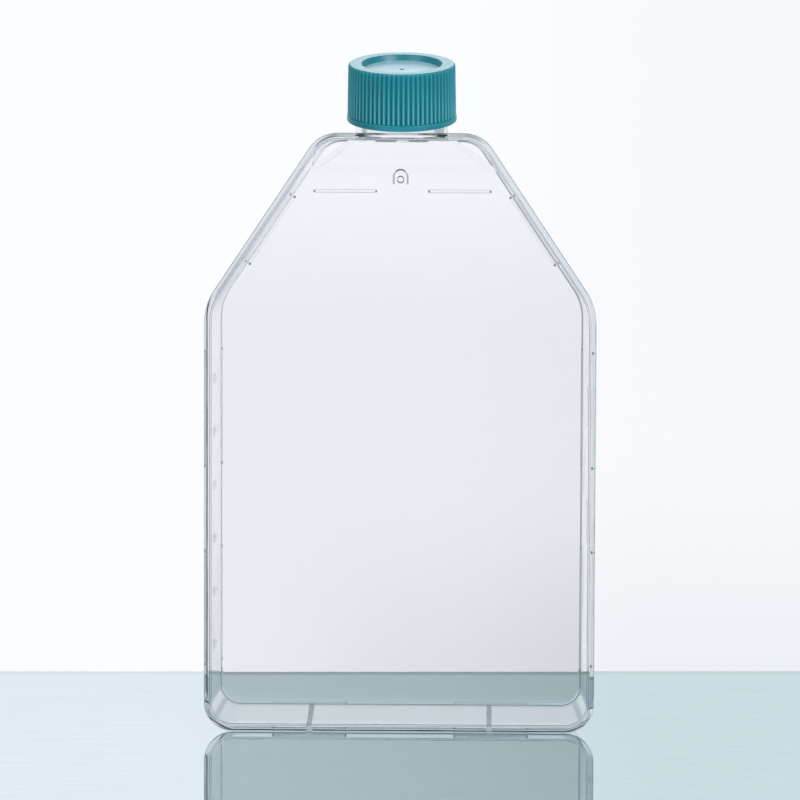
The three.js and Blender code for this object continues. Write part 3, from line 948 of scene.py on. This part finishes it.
def clear_plastic():
    """Clear polystyrene: a faint flow ripple from moulding, a little tint, and light shadows."""
    material = bpy.data.materials.new("clear_polystyrene")
    nodes = Nodes(material)
    position = nodes.scaled_position((1, 1, 1))
    ripple = nodes.noise(position, 60, 1.5)
    roughness = nodes.ramp(nodes.noise(position, 25, 3), 0.35, 0.7, 0.0, 0.015)
    plastic = nodes.add(
        "ShaderNodeBsdfPrincipled",
        {
            "Base Color": (1.0, 1.0, 1.0, 1),
            "Roughness": roughness,
            "IOR": 1.59,
            "Transmission Weight": 1.0,
            "Normal": nodes.bump(ripple, 0.02, 0.001),
        },
    )
    lamp_light = nodes.add("ShaderNodeBsdfTransparent", {"Color": (0.95, 0.96, 0.965, 1)})
    path = nodes.add("ShaderNodeLightPath")
    shader = nodes.add(
        "ShaderNodeMixShader",
        {0: path.outputs["Is Shadow Ray"], 1: plastic.outputs[0], 2: lamp_light.outputs[0]},
    )
    tint = nodes.add("ShaderNodeVolumeAbsorption", {"Color": (0.38, 0.5, 0.56, 1), "Density": 12.0})
    nodes.add("ShaderNodeOutputMaterial", {"Surface": shader.outputs[0], "Volume": tint.outputs[0]})
    return material


def teal_plastic():
    """Dyed polyethylene: satin and finely grained. Its colour holds painted shade in the rib grooves and on
    the recess wall, painted highlights on the rib crests and a painted reflection on the recess floor.
    """
    material = bpy.data.materials.new("teal_polyethylene")
    nodes = Nodes(material)
    position = nodes.scaled_position((1, 1, 1))
    axis = NECK_MATRIX.to_3x3() @ Vector((0, 0, 1))
    centre = NECK_MATRIX.translation * MM
    spoke = nodes.vector("SUBTRACT", position, centre)
    radius = nodes.vector("LENGTH", nodes.vector("CROSS_PRODUCT", spoke, axis), output="Value")
    height = nodes.vector("DOT_PRODUCT", spoke, axis, output="Value")
    ribs_low = CAP_LIFT + CAP_FLANGE_HEIGHT
    ribs_high = CAP_LIFT + CAP_HEIGHT - CAP_TOP_RADIUS
    ribbed = nodes.product(
        nodes.ramp(height, (ribs_low - 0.1) * MM, (ribs_low + 0.7) * MM),
        nodes.ramp(height, (ribs_high - 0.5) * MM, (ribs_high + 0.1) * MM, 1.0, 0.0),
        nodes.math("GREATER_THAN", radius, (CAP_VALLEY_RADIUS - 0.1) * MM),
    )
    valley = CAP_VALLEY_RADIUS * MM
    # Painted shade: the colour darkens in the valleys between the ribs.
    groove = nodes.product(ribbed, nodes.ramp(radius, valley, valley + 0.3 * MM, 1.0, 0.0))
    # Painted highlight: the colour lightens on the rib crests.
    crest = nodes.product(ribbed, nodes.ramp(radius, valley + 0.5 * MM, valley + 0.85 * MM))
    recess = RECESS_DIAMETER / 2
    recess_floor = CAP_LIFT + CAP_HEIGHT - RECESS_DEPTH
    # Painted reflection: the recess floor is paler, standing in for the backdrop it mirrors at a low angle.
    sunk = nodes.product(
        nodes.ramp(height, recess_floor * MM, (recess_floor + 0.3) * MM, 1.0, 0.0),
        nodes.math("GREATER_THAN", height, (recess_floor - 0.05) * MM),
        nodes.math("GREATER_THAN", radius, DIMPLE_DIAMETER / 2 * MM),
        nodes.math("LESS_THAN", radius, (recess - 0.4) * MM),
    )
    # Painted shade: the recess wall is darker.
    recess_wall_shade = nodes.product(
        nodes.ramp(height, (recess_floor + 0.1) * MM, (recess_floor + 0.3) * MM),
        nodes.ramp(radius, recess * MM, (recess + 0.2) * MM, 1.0, 0.0),
    )
    dye = nodes.ramp(nodes.noise(position, 90, 4), 0.3, 0.7)
    colour = nodes.mix_colour(dye, TEAL, TEAL_PALER)
    colour = nodes.mix_colour(groove, colour, TEAL_GROOVE_SHADE)
    colour = nodes.mix_colour(crest, colour, TEAL_CREST_HIGHLIGHT)
    colour = nodes.mix_colour(sunk, colour, TEAL_RECESS_FLOOR_REFLECTION)
    colour = nodes.mix_colour(recess_wall_shade, colour, TEAL_RECESS_WALL_SHADE)
    grain = nodes.noise(position, 2500, 3, 0.6)
    shader = nodes.add(
        "ShaderNodeBsdfPrincipled",
        {
            "Base Color": colour,
            "Roughness": nodes.ramp(grain, 0.3, 0.7, 0.34, 0.44),
            "IOR": 1.52,
            "Sheen Weight": 0.15,
            "Sheen Roughness": 0.4,
            "Sheen Tint": (0.9, 0.96, 1.0, 1),
            "Normal": nodes.bump(grain, 0.12, 0.0001),
        },
    )
    nodes.add("ShaderNodeOutputMaterial", {"Surface": shader.outputs[0]})
    return material


def natural_plastic():
    """Undyed polyethylene: milky, soft and a little waxy."""
    material = bpy.data.materials.new("natural_polyethylene")
    nodes = Nodes(material)
    position = nodes.scaled_position((1, 1, 1))
    cloud = nodes.noise(position, 140, 4)
    colour = nodes.mix_colour(cloud, (0.72, 0.74, 0.71, 1), (0.82, 0.83, 0.8, 1))
    grain = nodes.noise(position, 1800, 3, 0.6)
    shader = nodes.add(
        "ShaderNodeBsdfPrincipled",
        {
            "Base Color": colour,
            "Roughness": nodes.ramp(grain, 0.3, 0.7, 0.4, 0.52),
            "IOR": 1.51,
            "Subsurface Weight": 0.3,
            "Subsurface Radius": (0.002, 0.002, 0.0018),
            "Subsurface Scale": 1.0,
            "Normal": nodes.bump(grain, 0.08, 0.0001),
        },
    )
    nodes.add("ShaderNodeOutputMaterial", {"Surface": shader.outputs[0]})
    return material


# Floor, light and camera

BLACK = (0, 0, 0, 1)
TABLE_PALE = (0.50, 0.61, 0.66, 1)
TABLE_PALER = (0.55, 0.66, 0.70, 1)
# Painted shade: the table's matte colour wherever it is seen in a reflection.
TABLE_MIRRORED_SHADE = (0.20, 0.32, 0.35, 1)
# Painted shade: the table's sheen is darker on the right side.
TABLE_SHEEN_LEFT = (0.800, 0.875, 0.878, 1)
TABLE_SHEEN_RIGHT = (0.640, 0.760, 0.762, 1)
BACKDROP_LEFT = (0.972, 0.982, 0.997, 1)
BACKDROP_RIGHT = (0.938, 0.946, 0.976, 1)
BACKDROP_LOW_RIGHT = (0.845, 0.870, 0.912, 1)
BACKDROP_BENT_GAIN = (1.022, 1.022, 1.055)
BACKDROP_MIRRORED_GAIN = (0.60, 0.65, 0.655)
FRONT_BELOW = (0.11, 0.14, 0.17, 1)
FRONT_LEVEL = (0.70, 0.72, 0.76, 1)
FRONT_ABOVE = (0.15, 0.17, 0.18, 1)
SIDE_NEAR = (0.30, 0.36, 0.38, 1)
SIDE_FAR = (0.42, 0.49, 0.51, 1)
SIDE_STRAIGHT = (0.30, 0.35, 0.37, 1)
STEEP = (0.14, 0.20, 0.22, 1)
AMBIENT = (0.50, 0.52, 0.54, 1)


def table_top():
    """A pale glossy table. Its far edge is a little behind the flask and turned slightly away."""
    far = 123.0 + MIDDLE
    turn = 0.044
    near = -700.0
    half = 1500.0
    thickness = 30.0
    points = [(-half, near, 0), (half, near, 0), (half, far + turn * half, 0), (-half, far - turn * half, 0)]
    low = [(x, y, -thickness) for x, y, _ in points]
    faces = [(0, 1, 2, 3), (7, 6, 5, 4), (0, 4, 5, 1), (1, 5, 6, 2), (2, 6, 7, 3), (3, 7, 4, 0)]
    table = mesh_object("table_top", points + low, faces)
    material = bpy.data.materials.new("table")
    nodes = Nodes(material)
    path = nodes.add("ShaderNodeLightPath").outputs
    grain = nodes.noise(nodes.scaled_position((9, 60, 1)), 3.0, 6, 0.6)
    place_on_top = nodes.add("ShaderNodeSeparateXYZ", {0: nodes.scaled_position((1, 1, 1))}).outputs
    # Painted shade: the sheen fades toward the right, for light that falls off that way.
    to_right = nodes.ramp(place_on_top["X"], -0.06, 0.09)
    to_edge = nodes.math("SUBTRACT", nodes.product(place_on_top["X"], turn), place_on_top["Y"])
    to_edge = nodes.math("ADD", to_edge, far * MM)
    edge_shade = nodes.math("ADD", nodes.product(path["Is Transmission Ray"], 0.25), 0.08)
    edge_shade = nodes.product(edge_shade, nodes.ramp(to_edge, 4 * MM, 11 * MM, 1.0, 0.0))
    streak = nodes.ramp(grain, 0.3, 0.7, 0.97, 1.0)
    sheen = nodes.mix_colour(to_right, TABLE_SHEEN_LEFT, TABLE_SHEEN_RIGHT)
    sheen = nodes.mix_colour(nodes.math("SUBTRACT", streak, edge_shade), BLACK, sheen)
    pale = nodes.mix_colour(grain, TABLE_PALE, TABLE_PALER)
    # Painted shade: the table's matte colour is darker where it is seen in a reflection.
    mirrored = nodes.ramp(path["Glossy Depth"], 0.0, 1.0)
    colour = nodes.mix_colour(mirrored, pale, TABLE_MIRRORED_SHADE)
    relief = nodes.bump(grain, 0.02, 0.001)
    matte = nodes.add("ShaderNodeBsdfDiffuse", {"Color": colour, "Normal": relief})
    gloss = nodes.add("ShaderNodeBsdfGlossy", {"Color": sheen, "Roughness": 0.02, "Normal": relief})
    facing = nodes.add("ShaderNodeLayerWeight").outputs["Facing"]
    share = nodes.ramp(facing, 0.62, 0.84, 0.04, 0.87)
    shader = nodes.add("ShaderNodeMixShader", {0: share, 1: matte.outputs[0], 2: gloss.outputs[0]})
    nodes.add("ShaderNodeOutputMaterial", {"Surface": shader.outputs[0]})
    table.data.materials.append(material)
    return table


def room_colour(nodes, y, z, guided):
    """The dimmer room round the backdrop: a glow in front, plain sides, a dark top and bottom."""
    glow = nodes.mix_colour(nodes.ramp(z, -0.08, -0.04), FRONT_BELOW, FRONT_LEVEL)
    glow = nodes.mix_colour(nodes.ramp(z, 0.0, 0.10), glow, FRONT_ABOVE)
    steep = nodes.math("MAXIMUM", nodes.ramp(z, 0.2, 0.5), nodes.ramp(z, -0.18, -0.30))
    flank = nodes.mix_colour(nodes.ramp(y, -0.2, 0.1), SIDE_NEAR, SIDE_FAR)
    flank = nodes.mix_colour(guided, SIDE_STRAIGHT, flank)
    sides = nodes.mix_colour(steep, flank, STEEP)
    return nodes.mix_colour(nodes.ramp(y, -0.95, -0.80), glow, sides)


def studio_world():
    """A white backdrop behind the flask, and round it a dimmer room that the camera never sees directly.

    Rays that the walls mirror or guide see the room, and that draws the clear edges as grey lines. Rays
    that only pass through the walls see the backdrop in front and at the sides as well as behind, and
    low down at the rear sides. These directions were chosen for the photographed view and a few others.
    """
    world = bpy.data.worlds.new("studio")
    bpy.context.scene.world = world
    nodes = Nodes(world)
    path = nodes.add("ShaderNodeLightPath").outputs
    guided = nodes.ramp(path["Glossy Depth"], 0.0, 1.0)
    direction = nodes.add("ShaderNodeTexCoord").outputs["Generated"]
    axes = nodes.add("ShaderNodeSeparateXYZ", {0: direction}).outputs
    x, y, z = axes["X"], axes["Y"], axes["Z"]

    to_right = nodes.ramp(x, -0.015, 0.035)
    low_right = nodes.product(to_right, nodes.ramp(z, -0.10, -0.155))
    white = nodes.mix_colour(to_right, BACKDROP_LEFT, BACKDROP_RIGHT)
    white = nodes.mix_colour(low_right, white, BACKDROP_LOW_RIGHT)
    fading = nodes.product(nodes.ramp(x, -0.05, -0.01), nodes.ramp(z, -0.11, -0.15, 0.0, 0.10))
    lit = nodes.vector("MULTIPLY", white, BACKDROP_BENT_GAIN)
    lit = nodes.mix_colour(fading, lit, BLACK)

    not_high = nodes.ramp(z, 0.31, 0.42, 1.0, 0.0)
    panel = nodes.product(
        nodes.ramp(x, -0.75, -0.50),
        nodes.ramp(x, 0.30, 0.46, 1.0, 0.0),
        nodes.ramp(y, 0.2, 0.5),
        nodes.ramp(z, -0.22, -0.17),
        not_high,
    )
    low_sides = nodes.product(
        nodes.ramp(nodes.math("ABSOLUTE", x), 0.42, 0.52),
        nodes.ramp(z, -0.24, -0.34),
    )
    clear_way = nodes.product(
        nodes.math("MAXIMUM", low_sides, nodes.ramp(y, 0.30, 0.45, 1.0, 0.0)),
        nodes.math("SUBTRACT", 1.0, guided),
        not_high,
    )
    room = room_colour(nodes, y, z, guided)
    seen = nodes.mix_colour(nodes.math("MAXIMUM", panel, clear_way), room, lit)

    mirrored = nodes.product(
        nodes.ramp(nodes.math("MINIMUM", path["Glossy Depth"], path["Transmission Depth"]), 0.0, 1.0),
        nodes.ramp(z, 0.09, 0.12),
        nodes.ramp(z, 0.19, 0.23, 1.0, 0.0),
    )
    seen = nodes.mix_colour(mirrored, seen, nodes.vector("MULTIPLY", seen, BACKDROP_MIRRORED_GAIN))
    bent = nodes.math("MAXIMUM", path["Is Glossy Ray"], path["Is Transmission Ray"])
    colour = nodes.mix_colour(bent, AMBIENT, seen)
    colour = nodes.mix_colour(path["Is Camera Ray"], colour, white)
    background = nodes.add("ShaderNodeBackground", {"Color": colour, "Strength": 1.0})
    nodes.add("ShaderNodeOutputWorld", {"Surface": background.outputs[0]})


def softbox(name, location, size, energy, lit):
    """A lamp for the opaque pieces. The clear flask takes its light from the backdrop alone."""
    target = Vector((0, 0, 0.12))
    data = bpy.data.lights.new(name, "AREA")
    data.shape = "RECTANGLE"
    data.size, data.size_y = size
    data.energy = energy
    lamp = bpy.data.objects.new(name, data)
    lamp.location = location
    lamp.rotation_euler = (target - Vector(location)).to_track_quat("-Z", "Y").to_euler()
    lamp.visible_camera = False
    lamp.visible_transmission = False
    bpy.context.scene.collection.objects.link(lamp)
    lamp.light_linking.receiver_collection = lit


def studio_camera():
    """The camera looks slightly down at the flask from in front."""
    yaw = math.radians(-1.03)
    pitch = math.radians(-5.34)
    roll = math.radians(0.21)
    place = (0.0302, -1.696 + MIDDLE * MM, 0.27035)
    ahead = Vector((math.sin(yaw) * math.cos(pitch), math.cos(yaw) * math.cos(pitch), math.sin(pitch)))
    right = Vector((math.cos(yaw), -math.sin(yaw), 0))
    up = right.cross(ahead)
    tilted_right = right * math.cos(roll) + up * math.sin(roll)
    tilted_up = tilted_right.cross(ahead)
    data = bpy.data.cameras.new("camera")
    data.sensor_width = 36.0
    data.lens = 224.46
    data.clip_start = 0.05
    data.clip_end = 50.0
    camera = bpy.data.objects.new("camera", data)
    camera.matrix_world = Matrix(
        (
            (tilted_right.x, tilted_up.x, -ahead.x, place[0]),
            (tilted_right.y, tilted_up.y, -ahead.y, place[1]),
            (tilted_right.z, tilted_up.z, -ahead.z, place[2]),
            (0, 0, 0, 1),
        )
    )
    bpy.context.scene.collection.objects.link(camera)
    bpy.context.scene.camera = camera


# Assembly


def place(piece, body, nodes, slot, material):
    """Gives a piece its material, attaches it to the body it rides on and hides the CAD nodes it stands in
    for.
    """
    piece.data.materials.clear()
    piece.data.materials.append(material)
    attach(piece, body)
    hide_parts(*nodes)


scene = bpy.context.scene
scene.view_settings.view_transform = "Standard"

# Light that runs inside the clear walls takes many bounces to get out. Cut short, it would be black.
scene.cycles.max_bounces = 24
scene.cycles.glossy_bounces = 16
scene.cycles.transmission_bounces = 24
studio_camera()
opaque = bpy.data.collections.new("opaque_pieces")
flask = flask_body()
cap = screw_cap()
seal = plug_seal()
for piece in (cap, seal, table_top()):
    opaque.objects.link(piece)
place(flask, "flask", ["flask_tray", "cover_plate"], "clear_polystyrene", clear_plastic())
place(cap, "screw_cap", ["screw_cap"], "teal_polyethylene", teal_plastic())
place(seal, "plug_seal", ["plug_seal"], "natural_polyethylene", natural_plastic())
studio_world()
softbox("key_left", (-1.1, -1.3, 1.3), (0.9, 0.9), 10, opaque)
softbox("key_right", (1.0, -1.3, 1.1), (0.6, 0.8), 20, opaque)
softbox("back_top", (0.0, 1.5, 0.95), (1.6, 0.8), 10, opaque)
